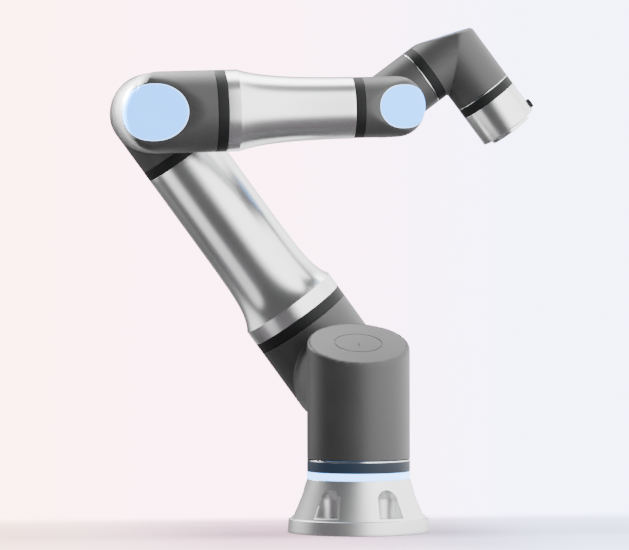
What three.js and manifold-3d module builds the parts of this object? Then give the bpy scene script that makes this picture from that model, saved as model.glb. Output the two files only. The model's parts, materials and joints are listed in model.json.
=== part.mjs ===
// Collaborative robot arm with six turning joints, in millimetres.
// The frame: origin at the centre of the foot's underside, +Z up, the arm's plane along X,
// and the shoulder, elbow and first wrist axes parallel to +Y.

import * as THREE from 'three';
import { mergeVertices } from 'three/addons/utils/BufferGeometryUtils.js';
import Module from 'manifold-3d';

const wasm = await Module();
wasm.setup();

// Driving dimensions: the six joint axes
const SHOULDER_HEIGHT = 218.6;
const UPPER_ARM_PLANE = 192;
const UPPER_ARM_LENGTH = 475;
const FOREARM_PLANE = 38;
const FOREARM_LENGTH = 339;
const WRIST_PLANE = 182.4;
const WRIST_2_OFFSET = 136.1;
const TOOL_LENGTH = 143.4;

// Rest pose, in degrees: how far each link's own +Z is turned about +Y from straight up
const UPPER_ARM_TURN = -36.1;
const FOREARM_TURN = 88.62;
const WRIST_1_TURN = 53.29;
const WRIST_2_TURN = 143.29;

// Joint sizes: outer radius of the castings
const BIG_RADIUS = 74;
const MIDDLE_RADIUS = 59;
const SMALL_RADIUS = 44;
const WALL = 5;

// Where neighbouring castings meet, along Y, and the dark gap between them
const SHOULDER_SEAM = 100;
const ELBOW_SEAM = 100;
const WRIST_SEAM = 110;
const SEAM_GAP = 1;
const FIT_GAP = 0.3;

// The flat on a casting's outer corner, and the cover let into it
const FLAT_TILT = 19.3;
const FLAT_HEIGHT = 0.69;
const SHOULDER_FLAT_TILT = 20;
const SHOULDER_FLAT_HEIGHT = 53;
const COVER_THICKNESS = 3;
const COVER_INSET = 0.4;
const COVER_GAP = 0.4;
const COVER_LEDGE = 6;

// Foot
const FOOT_RADIUS = 102;
const FOOT_TOP = 76.9;
const FOOT_RIM_TOP = 20;
const FOOT_BORE = 35;
const FOOT_TURN = -7.7;
const POCKET_COUNT = 6;
const POCKET_CIRCLE = 83;
const POCKET_RADIUS = 16;
const POCKET_FLOOR = 24;
const POCKET_SHOULDER = 48;
const BOLT_HOLE_RADIUS = 4.5;
const CABLE_HOLE_RADIUS = 9;

// Socket for the controller's cable, at the back of the foot; reaches are from the foot's axis
const SOCKET_HEIGHT = 44;
const SOCKET_RADIUS = 17.6;
const SOCKET_BACK_RADIUS = 13;
const SOCKET_WELL_RADIUS = 13.5;
const SOCKET_BACK = 62;
const SOCKET_COLLAR = 74;
const SOCKET_FLOOR = 79;
const SOCKET_RIM = 92;
const SEAT_GAP = 0.4;

// Rings between the foot and the shoulder casting
const LIGHT_RING = [77.2, 86.9];
const BASE_SEAL_RING = [87.2, 101.9];
const BASE_TRIM_RING = [102.2, 104.4];
const SHOULDER_CASTING_FOOT = 105.4;

// Rings and tubes, measured from the nearest joint axis
const SHOULDER_CLAMP = [93.3, 108.7];
const ELBOW_UPPER_CLAMP = [64.9, 79.2];
const ELBOW_LOWER_CLAMP = [77, 91.7];
const WRIST_CLAMP = [48.3, 61.7];
const WRIST_2_TRIM = [73, 75];
const WRIST_2_SEAL = [75.3, 88.4];
const WRIST_3_TRIM = [71.8, 73.6];
const WRIST_3_SEAL = [73.9, 87];
const TUBE_WALL = 4;
const UPPER_ARM_COLLAR_END = 131.6;
const UPPER_ARM_FLARE = 22;
const FOREARM_COLLAR_END = 110;
const FOREARM_FLARE = 48;

// Tool flange, after the common 50 mm bolt circle for small robots
const FLANGE_FACE_RADIUS = 31.5;
const FLANGE_FACE_HEIGHT = 6.2;
const FLANGE_RECESS_RADIUS = 15.75;
const FLANGE_BOLT_CIRCLE = 25;
const FLANGE_BOLT_COUNT = 4;
const FLANGE_BOLT_RADIUS = 3;
const DOWEL_RADIUS = 3;

// Socket for the tool's cable on the flange's side; reaches are from the flange's axis
const CONNECTOR_HEIGHT = TOOL_LENGTH - 16;
const CONNECTOR_RADIUS = 7;
const CONNECTOR_WELL_RADIUS = 4.6;
const CONNECTOR_BACK = 38.3;
const CONNECTOR_FLOOR = 46;
const CONNECTOR_RIM = 49;

// How finely round shapes are divided
const SMOOTH = 28;
const PLAIN = 14;

const DEGREE = Math.PI / 180;

// ---------- Solids ----------

// Turns a closed geometry into a solid; its faces are wound so that they point out.
function toSolid(geometry) {
  const bare = new THREE.BufferGeometry();
  bare.setAttribute('position', geometry.getAttribute('position'));
  bare.setIndex(geometry.index);
  const merged = mergeVertices(bare, 1e-3);
  const points = merged.getAttribute('position').array;
  const corners = merged.index.array;
  const kept = [];
  let volume = 0;
  for (let i = 0; i < corners.length; i += 3) {
    const [a, b, c] = corners.slice(i, i + 3);
    if (a === b || b === c || c === a) continue;
    kept.push(a, b, c);
    const [p, q, r] = [a, b, c].map((k) => new THREE.Vector3().fromArray(points, 3 * k));
    volume += p.dot(q.cross(r));
  }
  if (volume < 0) kept.reverse();
  return new wasm.Manifold(new wasm.Mesh({
    numProp: 3,
    vertProperties: new Float32Array(points),
    triVerts: new Uint32Array(kept),
  }));
}

function toGeometry(solid) {
  const mesh = solid.getMesh();
  const geometry = new THREE.BufferGeometry();
  geometry.setAttribute('position', new THREE.BufferAttribute(mesh.vertProperties, 3));
  geometry.setIndex(new THREE.BufferAttribute(mesh.triVerts, 1));
  geometry.computeVertexNormals();
  return geometry;
}

function joined(...solids) {
  return solids.reduce((whole, next) => whole.add(next));
}

// A profile of [radius, height] pairs turned about Z.
function turned(profile, segments = SMOOTH) {
  const points = profile.map(([radius, height]) => new THREE.Vector2(radius, height));
  return toSolid(new THREE.LatheGeometry(points, segments).rotateX(Math.PI / 2));
}

function rod(radius, low, high, segments = SMOOTH) {
  return turned([[0, low], [radius, low], [radius, high], [0, high]], segments);
}

function ring(inner, outer, low, high, segments = SMOOTH) {
  return turned([[inner, low], [outer, low], [outer, high], [inner, high], [inner, low]], segments);
}

// A rod along X instead of Z.
function rodAlongX(radius, low, high, segments = SMOOTH) {
  const points = [[0, low], [radius, low], [radius, high], [0, high]];
  const profile = points.map(([r, h]) => new THREE.Vector2(r, h));
  return toSolid(new THREE.LatheGeometry(profile, segments).rotateX(Math.PI / 2).rotateY(Math.PI / 2));
}

// ---------- Castings ----------
// A casting's own frame: the joint's seam faces +Z, the arm or tube leaves along +X, and the
// flat with its cover faces -Z, tilted towards -X.

// Everything beyond a plane that stands at a distance from the origin, facing -Z tilted by tilt.
function beyondFlat(distance, tilt, size) {
  const block = new THREE.BoxGeometry(size, size, size).translate(0, 0, -distance - size / 2);
  return toSolid(block.rotateY(tilt * DEGREE));
}

// Two equal cylinders mitred at a right angle.
function mitredElbow(radius, jointEnd, armEnd) {
  const corner = rod(radius, -radius, radius).intersect(rodAlongX(radius, -radius, radius));
  return joined(rod(radius, 0, jointEnd), rodAlongX(radius, 0, armEnd), corner);
}

// The shoulder's form: the joint's cylinder runs on past the arm's to the flat.
function fullElbow(radius, jointEnd, armEnd) {
  return joined(rod(radius, -2 * radius, jointEnd), rodAlongX(radius, 0, armEnd));
}

// An elliptical plate in the flat's own frame, between two depths below the flat.
function flatEllipse(flat, shrink, high, low) {
  const shape = new THREE.Shape();
  shape.absellipse(0, 0, flat.halfLength - shrink, flat.halfWidth - shrink, 0, 2 * Math.PI);
  const extrusion = { depth: low - high, bevelEnabled: false, curveSegments: 14 };
  const plate = new THREE.ExtrudeGeometry(shape, extrusion);
  plate.translate(flat.centre, 0, high - flat.distance);
  return toSolid(plate.rotateY(flat.tilt * DEGREE));
}

function cornerFlat(radius) {
  return {
    tilt: FLAT_TILT,
    distance: FLAT_HEIGHT * radius * Math.cos(FLAT_TILT * DEGREE),
    centre: 0.053 * radius,
    halfLength: 0.8 * radius,
    halfWidth: 0.7 * radius,
  };
}

function shoulderFlat(radius) {
  const rim = 5;
  return {
    tilt: SHOULDER_FLAT_TILT,
    distance: SHOULDER_FLAT_HEIGHT * Math.cos(SHOULDER_FLAT_TILT * DEGREE),
    centre: SHOULDER_FLAT_HEIGHT * Math.sin(SHOULDER_FLAT_TILT * DEGREE),
    halfLength: (radius - rim) / Math.cos(SHOULDER_FLAT_TILT * DEGREE),
    halfWidth: radius - rim,
  };
}

// A hollow casting, open at its seam, at its arm end and under its cover.
function castingSolid(form, flat, radius, jointEnd, armEnd) {
  const size = 6 * radius;
  const bore = radius - WALL;
  const floor = COVER_THICKNESS + COVER_INSET;
  const outside = form(radius, jointEnd, armEnd).subtract(beyondFlat(flat.distance, flat.tilt, size));
  const wallUnderFlat = floor + WALL / 2;
  const hollow = form(bore, jointEnd + WALL, armEnd + WALL)
    .subtract(beyondFlat(flat.distance - wallUnderFlat, flat.tilt, size));
  const recess = flatEllipse(flat, 0, -WALL, floor);
  const opening = flatEllipse(flat, COVER_LEDGE, -WALL, wallUnderFlat + WALL);
  return outside.subtract(hollow).subtract(recess).subtract(opening);
}

function coverSolid(flat) {
  return flatEllipse(flat, COVER_GAP, COVER_INSET, COVER_THICKNESS + COVER_INSET - FIT_GAP);
}

// ---------- Drive units ----------
// Each turning joint is driven by a ring motor, a hollow rotor shaft and a strain wave gear,
// stacked along the casting's Z with the control board nearest the cover.

function motorStator(radius) {
  return ring(0.53 * radius, radius - WALL - 0.5, 0.02 * radius, 0.36 * radius, PLAIN);
}

// A hollow shaft that carries the magnets inside the stator and the wave generator's plug.
function rotorShaft(radius, jointEnd) {
  const bore = 0.14 * radius;
  const tube = 0.2 * radius;
  const magnets = 0.5 * radius;
  const plug = 0.36 * radius;
  return turned([
    [bore, -0.3 * radius], [tube, -0.3 * radius], [tube, 0.04 * radius],
    [magnets, 0.04 * radius], [magnets, 0.34 * radius], [plug, 0.38 * radius],
    [plug, 0.7 * radius], [tube, 0.7 * radius], [tube, jointEnd - 4], [bore, jointEnd - 4],
    [bore, -0.3 * radius],
  ], PLAIN);
}

// The gear's outer ring with the flexible cup and its output bearing.
function strainWaveGear(radius, jointEnd) {
  const outer = radius - WALL - 0.5;
  const cup = 0.39 * radius;
  const hub = 0.24 * radius;
  const start = 0.42 * radius;
  const floor = jointEnd - 12;
  return turned([
    [cup, start], [outer, start], [outer, jointEnd - 8], [0.72 * radius, jointEnd - 8],
    [0.72 * radius, jointEnd - 4], [hub, jointEnd - 4], [hub, floor], [cup, floor], [cup, start],
  ], PLAIN);
}

function controlBoard(radius) {
  const bore = 0.22 * radius;
  return ring(bore, 0.6 * radius, -0.345 * radius, -0.345 * radius + 2, PLAIN);
}

// ---------- Tubes ----------

// A tube that leaves a collar and narrows quickly at first, then ever more slowly.
function flaredTube(start, end, collarEnd, collarRadius, endRadius, flare) {
  const steps = [0, 0.06, 0.14, 0.25, 0.42, 1];
  const outside = steps.map((step) => {
    const height = collarEnd + step * (end - collarEnd);
    const fade = Math.exp((collarEnd - height) / flare);
    return [endRadius + (collarRadius - endRadius) * fade, height];
  });
  const outer = [[collarRadius, start], ...outside];
  const bore = endRadius - TUBE_WALL;
  const inner = [[bore, end], [bore, 0.6 * start + 0.4 * end], [collarRadius - 2 * TUBE_WALL, start]];
  return turned([...outer, ...inner, outer[0]]);
}

// ---------- Foot ----------

// The plan of one bolt pocket: round at the back, opening outwards. Its axis is +X.
function pocketSolid() {
  const splay = 24;
  const mouth = FOOT_RADIUS + 4;
  const plan = new THREE.Shape();
  plan.moveTo(POCKET_CIRCLE, POCKET_RADIUS);
  plan.absarc(POCKET_CIRCLE, 0, POCKET_RADIUS, Math.PI / 2, 1.5 * Math.PI, false);
  plan.lineTo(mouth, -splay);
  plan.lineTo(mouth, splay);
  plan.closePath();
  const height = POCKET_SHOULDER - POCKET_FLOOR;
  const slot = new THREE.ExtrudeGeometry(plan, { depth: height, bevelEnabled: false, curveSegments: 8 });
  slot.translate(0, 0, POCKET_FLOOR);
  const dome = new THREE.SphereGeometry(POCKET_RADIUS - 0.2, 14, 8).rotateX(Math.PI / 2);
  dome.translate(POCKET_CIRCLE, 0, POCKET_SHOULDER);
  return joined(toSolid(slot), toSolid(dome));
}

// The cone above the rim, slightly hollow in outline.
function footConeRadius(height) {
  const widest = 97;
  const hollowness = 1.15;
  const share = (FOOT_TOP - height) / (FOOT_TOP - FOOT_RIM_TOP);
  return BIG_RADIUS + (widest - BIG_RADIUS) * share ** hollowness;
}

function footSolid() {
  const cone = [20, 30, 42, 54, 66, FOOT_TOP].map((height) => [footConeRadius(height), height]);
  let foot = turned([
    [FOOT_BORE, 0], [FOOT_RADIUS, 0], [FOOT_RADIUS, 4], [FOOT_RADIUS - 1, FOOT_RIM_TOP - 1.5],
    [FOOT_RADIUS - 2.5, FOOT_RIM_TOP], ...cone, [FOOT_BORE, FOOT_TOP], [FOOT_BORE, 0],
  ], 48);
  for (let i = 0; i < POCKET_COUNT; i += 1) {
    const turn = (i * 360) / POCKET_COUNT * DEGREE;
    const hole = new THREE.CylinderGeometry(BOLT_HOLE_RADIUS, BOLT_HOLE_RADIUS, 60, 10);
    hole.rotateX(Math.PI / 2).translate(POCKET_CIRCLE, 0, 0).rotateZ(turn);
    foot = foot.subtract(pocketSolid().rotate([0, 0, turn / DEGREE])).subtract(toSolid(hole));
  }
  const seat = rodAlongY(SOCKET_RADIUS + SEAT_GAP, SOCKET_BACK - 6, SOCKET_RIM + 4, 24);
  const cableHole = rodAlongY(CABLE_HOLE_RADIUS, 0, SOCKET_BACK, 16);
  return foot.subtract(seat).subtract(cableHole);
}

// A rod along the foot's +Y at the cable socket's height.
function rodAlongY(radius, start, end, segments) {
  const cylinder = new THREE.CylinderGeometry(radius, radius, end - start, segments);
  return toSolid(cylinder.translate(0, (start + end) / 2, SOCKET_HEIGHT));
}

// A socket with a round well that faces away from the foot's axis, along +Y.
function cableSocketSolid() {
  const profile = [
    [0, SOCKET_BACK], [SOCKET_BACK_RADIUS, SOCKET_BACK], [SOCKET_BACK_RADIUS, SOCKET_COLLAR],
    [SOCKET_RADIUS, SOCKET_COLLAR], [SOCKET_RADIUS, SOCKET_RIM], [SOCKET_WELL_RADIUS, SOCKET_RIM],
    [SOCKET_WELL_RADIUS, SOCKET_FLOOR], [0, SOCKET_FLOOR],
  ];
  const points = profile.map(([radius, reach]) => new THREE.Vector2(radius, reach));
  return toSolid(new THREE.LatheGeometry(points, 32).translate(0, 0, SOCKET_HEIGHT));
}

// ---------- Tool flange ----------

function toolFlangeSolid() {
  const start = WRIST_3_SEAL[1] + FIT_GAP;
  const shoulder = TOOL_LENGTH - FLANGE_FACE_HEIGHT;
  let flange = turned([
    [0, start], [SMALL_RADIUS, start], [SMALL_RADIUS, shoulder - 1.5], [SMALL_RADIUS - 1.5, shoulder],
    [FLANGE_FACE_RADIUS, shoulder], [FLANGE_FACE_RADIUS, TOOL_LENGTH],
    [FLANGE_RECESS_RADIUS, TOOL_LENGTH], [FLANGE_RECESS_RADIUS, shoulder], [0, shoulder],
  ]);
  for (let i = 0; i < FLANGE_BOLT_COUNT; i += 1) {
    const turn = (45 + (i * 360) / FLANGE_BOLT_COUNT) * DEGREE;
    flange = flange.subtract(flangeHole(FLANGE_BOLT_RADIUS, 12, turn));
  }
  const seatRadius = CONNECTOR_RADIUS + FIT_GAP;
  const connectorSeat = rodAlongX(seatRadius, -SMALL_RADIUS - 10, FIT_GAP - CONNECTOR_BACK, 20)
    .translate([0, 0, CONNECTOR_HEIGHT]);
  return flange.subtract(flangeHole(DOWEL_RADIUS, 7, 0)).subtract(connectorSeat);
}

function flangeHole(radius, depth, turn) {
  const x = FLANGE_BOLT_CIRCLE * Math.cos(turn);
  const y = FLANGE_BOLT_CIRCLE * Math.sin(turn);
  return rod(radius, TOOL_LENGTH - depth, TOOL_LENGTH + 1, 10).translate([x, y, 0]);
}

// A small round socket on the side of the tool flange, facing away from the wrist.
function toolConnectorSolid() {
  const profile = [
    [0, CONNECTOR_BACK], [CONNECTOR_RADIUS, CONNECTOR_BACK], [CONNECTOR_RADIUS, CONNECTOR_RIM],
    [CONNECTOR_WELL_RADIUS, CONNECTOR_RIM], [CONNECTOR_WELL_RADIUS, CONNECTOR_FLOOR], [0, CONNECTOR_FLOOR],
  ];
  const points = profile.map(([radius, reach]) => new THREE.Vector2(radius, -reach));
  const socket = new THREE.LatheGeometry(points, 20).rotateX(Math.PI / 2).rotateY(Math.PI / 2);
  return toSolid(socket.translate(0, 0, CONNECTOR_HEIGHT));
}

// ---------- Materials ----------

function finish(color, roughness, metalness) {
  return { color, roughness, metalness };
}

const CASTING_GREY = finish(0x6b6c6e, 0.55, 0.1);
const COVER_BLUE = finish(0xafd3f5, 0.45, 0);
const COVER_GREY = finish(0x8b8c8e, 0.5, 0);
const RING_BLACK = finish(0x222326, 0.5, 0);
const BARE_ALUMINIUM = finish(0xc9cacc, 0.35, 1);
const TRIM_STEEL = finish(0xe2e4e6, 0.2, 1);
const LIGHT_DIFFUSER = finish(0xcfe9fb, 0.4, 0);
const WINDING_COPPER = finish(0xb4703a, 0.45, 0.8);
const ROTOR_STEEL = finish(0x9a9ca0, 0.3, 1);
const GEAR_STEEL = finish(0x7d8086, 0.35, 1);
const BOARD_GREEN = finish(0x1f6b3c, 0.6, 0);

// ---------- Assembly ----------

const assembly = new THREE.Group();

function addPiece(parent, name, solid, look) {
  const mesh = new THREE.Mesh(toGeometry(solid), new THREE.MeshStandardMaterial(look));
  mesh.name = name;
  parent.add(mesh);
}

// A group inside parent whose own Z and X point along the given directions of the parent.
function facing(parent, zDirection, xDirection, height) {
  const z = new THREE.Vector3(...zDirection);
  const x = new THREE.Vector3(...xDirection);
  const basis = new THREE.Matrix4().makeBasis(x, z.clone().cross(x), z);
  const group = new THREE.Group();
  group.quaternion.setFromRotationMatrix(basis);
  group.position.z = height;
  parent.add(group);
  return group;
}

// A link's group: its origin on its own joint axis, its +Z turned about +Y.
function link(x, y, z, turn) {
  const group = new THREE.Group();
  group.position.set(x, y, z);
  group.rotation.y = turn * DEGREE;
  assembly.add(group);
  return group;
}

function addCasting(parent, name, form, flat, radius, jointEnd, armEnd, coverLook) {
  addPiece(parent, `${name}_housing`, castingSolid(form, flat, radius, jointEnd, armEnd), CASTING_GREY);
  addPiece(parent, `${name}_cover`, coverSolid(flat), coverLook);
}

function addDrive(parent, name, radius, jointEnd) {
  addPiece(parent, `${name}_motor_stator`, motorStator(radius), WINDING_COPPER);
  addPiece(parent, `${name}_rotor_shaft`, rotorShaft(radius, jointEnd), ROTOR_STEEL);
  addPiece(parent, `${name}_strain_wave_gear`, strainWaveGear(radius, jointEnd), GEAR_STEEL);
  addPiece(parent, `${name}_control_board`, controlBoard(radius), BOARD_GREEN);
}

function addRing(parent, name, radius, [low, high], look) {
  addPiece(parent, name, ring(radius - 10, radius, low, high), look);
}

function addFoot() {
  const foot = new THREE.Group();
  foot.rotation.z = FOOT_TURN * DEGREE;
  assembly.add(foot);
  addPiece(foot, 'base_foot', footSolid(), BARE_ALUMINIUM);
  addPiece(foot, 'base_cable_socket', cableSocketSolid(), RING_BLACK);
  addRing(foot, 'base_light_ring', BIG_RADIUS, LIGHT_RING, LIGHT_DIFFUSER);
  addRing(foot, 'base_seal_ring', BIG_RADIUS, BASE_SEAL_RING, RING_BLACK);
  addRing(foot, 'base_trim_ring', BIG_RADIUS, BASE_TRIM_RING, TRIM_STEEL);
}

function addShoulder() {
  const shoulder = link(0, 0, SHOULDER_HEIGHT, 0);
  const casting = facing(shoulder, [0, 0, -1], [0, 1, 0], 0);
  const jointEnd = SHOULDER_HEIGHT - SHOULDER_CASTING_FOOT;
  const armEnd = SHOULDER_SEAM - SEAM_GAP / 2;
  addCasting(casting, 'shoulder', fullElbow, shoulderFlat(BIG_RADIUS), BIG_RADIUS, jointEnd, armEnd,
    COVER_GREY);
  addDrive(casting, 'base_joint', BIG_RADIUS, jointEnd);
}

function addUpperArm() {
  const arm = link(0, UPPER_ARM_PLANE, SHOULDER_HEIGHT, UPPER_ARM_TURN);
  const lower = facing(arm, [0, -1, 0], [0, 0, 1], 0);
  const lowerEnd = UPPER_ARM_PLANE - SHOULDER_SEAM - SEAM_GAP / 2;
  addCasting(lower, 'upper_arm_shoulder', mitredElbow, cornerFlat(BIG_RADIUS), BIG_RADIUS, lowerEnd,
    SHOULDER_CLAMP[0] - FIT_GAP, COVER_BLUE);
  addDrive(lower, 'shoulder_joint', BIG_RADIUS, lowerEnd);

  addRing(arm, 'upper_arm_lower_clamp_ring', BIG_RADIUS, SHOULDER_CLAMP, RING_BLACK);
  const tubeEnd = UPPER_ARM_LENGTH - ELBOW_UPPER_CLAMP[1] - FIT_GAP;
  addPiece(arm, 'upper_arm_tube', flaredTube(SHOULDER_CLAMP[1] + FIT_GAP, tubeEnd, UPPER_ARM_COLLAR_END,
    BIG_RADIUS, MIDDLE_RADIUS, UPPER_ARM_FLARE), BARE_ALUMINIUM);
  const upperClamp = ELBOW_UPPER_CLAMP.map((reach) => UPPER_ARM_LENGTH - reach);
  addRing(arm, 'upper_arm_upper_clamp_ring', MIDDLE_RADIUS, upperClamp.reverse(), RING_BLACK);

  const upper = facing(arm, [0, -1, 0], [0, 0, -1], UPPER_ARM_LENGTH);
  const upperEnd = UPPER_ARM_PLANE - ELBOW_SEAM - SEAM_GAP / 2;
  addCasting(upper, 'upper_arm_elbow', mitredElbow, cornerFlat(MIDDLE_RADIUS), MIDDLE_RADIUS, upperEnd,
    ELBOW_UPPER_CLAMP[0] - FIT_GAP, COVER_BLUE);
  addDrive(upper, 'elbow_joint', MIDDLE_RADIUS, upperEnd);
}

// The point that lies reach along a link's +Z when the link is turned about +Y.
function along(start, reach, turn) {
  return [start[0] + reach * Math.sin(turn * DEGREE), start[1] + reach * Math.cos(turn * DEGREE)];
}

const ELBOW_POINT = along([0, SHOULDER_HEIGHT], UPPER_ARM_LENGTH, UPPER_ARM_TURN);
const WRIST_1_POINT = along(ELBOW_POINT, FOREARM_LENGTH, FOREARM_TURN);
const WRIST_2_POINT = along(WRIST_1_POINT, WRIST_2_OFFSET, WRIST_1_TURN);

function addForearm() {
  const arm = link(ELBOW_POINT[0], FOREARM_PLANE, ELBOW_POINT[1], FOREARM_TURN);
  const lower = facing(arm, [0, 1, 0], [0, 0, 1], 0);
  addCasting(lower, 'forearm_elbow', mitredElbow, cornerFlat(MIDDLE_RADIUS), MIDDLE_RADIUS,
    ELBOW_SEAM - FOREARM_PLANE - SEAM_GAP / 2, ELBOW_LOWER_CLAMP[0] - FIT_GAP, COVER_BLUE);

  addRing(arm, 'forearm_lower_clamp_ring', MIDDLE_RADIUS, ELBOW_LOWER_CLAMP, RING_BLACK);
  const tubeEnd = FOREARM_LENGTH - WRIST_CLAMP[1] - FIT_GAP;
  addPiece(arm, 'forearm_tube', flaredTube(ELBOW_LOWER_CLAMP[1] + FIT_GAP, tubeEnd, FOREARM_COLLAR_END,
    MIDDLE_RADIUS, SMALL_RADIUS, FOREARM_FLARE), BARE_ALUMINIUM);
  const upperClamp = WRIST_CLAMP.map((reach) => FOREARM_LENGTH - reach);
  addRing(arm, 'forearm_upper_clamp_ring', SMALL_RADIUS, upperClamp.reverse(), RING_BLACK);

  const upper = facing(arm, [0, 1, 0], [0, 0, -1], FOREARM_LENGTH);
  const upperEnd = WRIST_SEAM - FOREARM_PLANE - SEAM_GAP / 2;
  addCasting(upper, 'forearm_wrist', mitredElbow, cornerFlat(SMALL_RADIUS), SMALL_RADIUS, upperEnd,
    WRIST_CLAMP[0] - FIT_GAP, COVER_BLUE);
  addDrive(upper, 'wrist_1_joint', SMALL_RADIUS, upperEnd);
}

function addWrist1() {
  const wrist = link(WRIST_1_POINT[0], WRIST_PLANE, WRIST_1_POINT[1], WRIST_1_TURN);
  const casting = facing(wrist, [0, 0, 1], [0, -1, 0], 0);
  const jointEnd = WRIST_2_TRIM[0] - SEAM_GAP / 2;
  addCasting(casting, 'wrist_1', mitredElbow, cornerFlat(SMALL_RADIUS), SMALL_RADIUS, jointEnd,
    WRIST_PLANE - WRIST_SEAM - SEAM_GAP / 2, COVER_BLUE);
  addDrive(casting, 'wrist_2_joint', SMALL_RADIUS, jointEnd);
  addRing(wrist, 'wrist_2_trim_ring', SMALL_RADIUS, WRIST_2_TRIM, TRIM_STEEL);
  addRing(wrist, 'wrist_2_seal_ring', SMALL_RADIUS, WRIST_2_SEAL, RING_BLACK);
}

function addWrist2() {
  const wrist = link(WRIST_2_POINT[0], WRIST_PLANE, WRIST_2_POINT[1], WRIST_2_TURN);
  const casting = facing(wrist, [0, 0, 1], [1, 0, 0], 0);
  const jointEnd = WRIST_3_TRIM[0] - SEAM_GAP / 2;
  addCasting(casting, 'wrist_2', mitredElbow, cornerFlat(SMALL_RADIUS), SMALL_RADIUS, jointEnd,
    WRIST_2_OFFSET - WRIST_2_SEAL[1] - FIT_GAP, COVER_BLUE);
  addDrive(casting, 'wrist_3_joint', SMALL_RADIUS, jointEnd);
  addRing(wrist, 'wrist_3_trim_ring', SMALL_RADIUS, WRIST_3_TRIM, TRIM_STEEL);
  addRing(wrist, 'wrist_3_seal_ring', SMALL_RADIUS, WRIST_3_SEAL, RING_BLACK);
  addPiece(wrist, 'tool_flange', toolFlangeSolid(), BARE_ALUMINIUM);
  addPiece(wrist, 'tool_connector', toolConnectorSolid(), RING_BLACK);
}

addFoot();
addShoulder();
addUpperArm();
addForearm();
addWrist1();
addWrist2();

export default assembly;
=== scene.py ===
"""Studio scene of a collaborative robot arm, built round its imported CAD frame. Metres, +Z up."""
import json
import math

import bpy
import numpy as np
from mathutils import Matrix, Vector


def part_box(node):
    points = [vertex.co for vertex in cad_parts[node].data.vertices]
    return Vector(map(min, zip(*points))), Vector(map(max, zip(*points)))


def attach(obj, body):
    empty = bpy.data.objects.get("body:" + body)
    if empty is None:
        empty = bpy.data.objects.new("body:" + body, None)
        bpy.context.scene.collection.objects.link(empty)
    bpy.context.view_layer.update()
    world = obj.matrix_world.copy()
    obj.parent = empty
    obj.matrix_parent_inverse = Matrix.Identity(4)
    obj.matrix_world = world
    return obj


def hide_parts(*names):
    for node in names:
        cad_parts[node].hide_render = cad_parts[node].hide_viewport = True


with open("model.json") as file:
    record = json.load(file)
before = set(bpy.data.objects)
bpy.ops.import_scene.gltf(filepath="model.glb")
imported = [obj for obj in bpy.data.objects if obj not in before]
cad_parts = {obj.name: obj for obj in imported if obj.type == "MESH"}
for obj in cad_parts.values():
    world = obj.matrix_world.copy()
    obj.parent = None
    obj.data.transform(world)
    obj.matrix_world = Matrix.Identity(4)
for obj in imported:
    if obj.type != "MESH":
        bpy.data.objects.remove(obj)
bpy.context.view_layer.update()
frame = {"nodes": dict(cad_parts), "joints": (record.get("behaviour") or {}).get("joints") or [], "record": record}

# ---------- Driving dimensions ----------

JOINTS = {joint["name"]: joint for joint in frame["joints"]}

# Outer radius of the castings and rings of each size, and the castings' wall
BIG = 0.074
MIDDLE = 0.059
SMALL = 0.044
WALL = 0.005

# Planes of the links along Y, and the seams between neighbouring castings
UPPER_ARM_PLANE = 0.192
FOREARM_PLANE = 0.038
WRIST_PLANE = JOINTS["wrist_2_joint"]["pos_m"][1]
SHOULDER_SEAM = 0.1
ELBOW_SEAM = 0.1
WRIST_SEAM = 0.11
SEAM_GAP = 0.001
FIT_GAP = 0.0003

# Rings, measured from the nearest joint axis
SHOULDER_CLAMP = (0.0933, 0.1087)
ELBOW_UPPER_CLAMP = (0.0649, 0.0792)
ELBOW_LOWER_CLAMP = (0.077, 0.0917)
WRIST_CLAMP = (0.0483, 0.0617)
WRIST_2_TRIM = (0.073, 0.075)
WRIST_2_SEAL = (0.0753, 0.0884)
WRIST_3_TRIM = (0.0718, 0.0736)
WRIST_3_SEAL = (0.0739, 0.087)

# How far the cable connector's middle lies behind the tool face
CONNECTOR_BEHIND_FACE = 0.016

# Foot
FOOT_RADIUS = 0.102
FOOT_BORE = 0.035
FOOT_TURN = math.radians(-7.7)
FOOT_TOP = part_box("base_foot")[1].z
RIM_TOP = 0.02
POCKET_COUNT = 6
POCKET_CIRCLE = 0.083
POCKET_RADIUS = 0.016
POCKET_FLOOR = 0.024
POCKET_SHOULDER = 0.048
POCKET_SPLAY = 8 / 23
BOLT_HOLE = 0.0045
SOCKET_HEIGHT = 0.044
SOCKET_RADIUS = 0.0176
SCREW_SEAT = 0.0095
CABLE_HOLE = 0.009

# Tool flange: the step behind its raised face, the face's two radii, and its holes
FLANGE_STEP = 0.0062
FLANGE_RAISED = 0.0315
FLANGE_RECESS = 0.01575
FLANGE_HOLE_CIRCLE = 0.025
FLANGE_HOLE = 0.003

# The covers and the seats that they lie in
COVER_THICKNESS = 0.003
COVER_INSET = 0.0003
COVER_GAP = 0.0004
COVER_LEDGE = 0.006

# How far each loop inside a cover's outline lies from it, as a share of the way to the middle
COVER_STEPS = (0.06, 0.12, 0.2, 0.3, 0.4, 0.5, 0.6, 0.7, 0.8, 0.9, 0.97)

# How finely round shapes are divided
AROUND = 144


# ---------- Meshes ----------

def make_object(name, points, faces):
    """A mesh object whose faces point out, whichever way round they were given."""
    points = np.asarray(points, float)
    mesh = bpy.data.meshes.new(name)
    mesh.from_pydata(points.tolist(), [], faces)
    volume = 0.0
    for face in faces:
        corners = points[list(face)]
        for i in range(1, len(face) - 1):
            volume += np.dot(corners[0], np.cross(corners[i], corners[i + 1]))
    if volume < 0:
        mesh.flip_normals()
    piece = bpy.data.objects.new(name, mesh)
    bpy.context.scene.collection.objects.link(piece)
    return piece


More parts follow.
